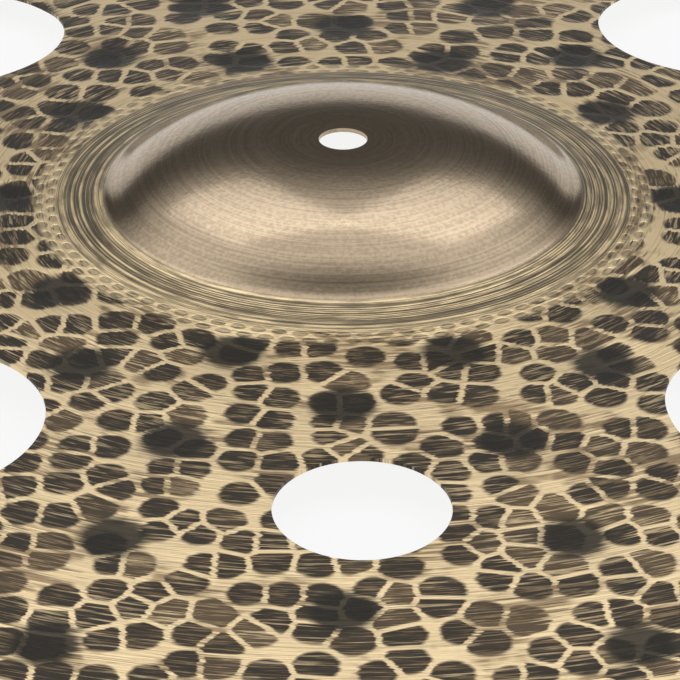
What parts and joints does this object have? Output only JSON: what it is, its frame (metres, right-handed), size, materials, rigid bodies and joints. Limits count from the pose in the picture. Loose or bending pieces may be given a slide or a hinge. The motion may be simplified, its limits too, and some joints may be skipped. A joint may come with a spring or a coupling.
{
  "type": "trash crash cymbal",
  "caption": "Thin round bronze crash cymbal with a raised bell, a centre hole for a stand and round cut-outs in two sizes around its bow.",
  "frame": {"origin": "on the cymbal's axis, in the plane of the rim's underside", "axes": "+Z along the axis, out of the top of the bell; +X and +Y in the plane of the rim, with a small cut-out just beside -Y"},
  "size_m": [0.457, 0.457, 0.0276],
  "materials": {
    "bronze": "hammered and lathed bronze, satin, dark oxide left between the lathe cuts"
  },
  "bodies": {
    "root": {"cymbal": "bronze"}
  },
  "joints": []
}
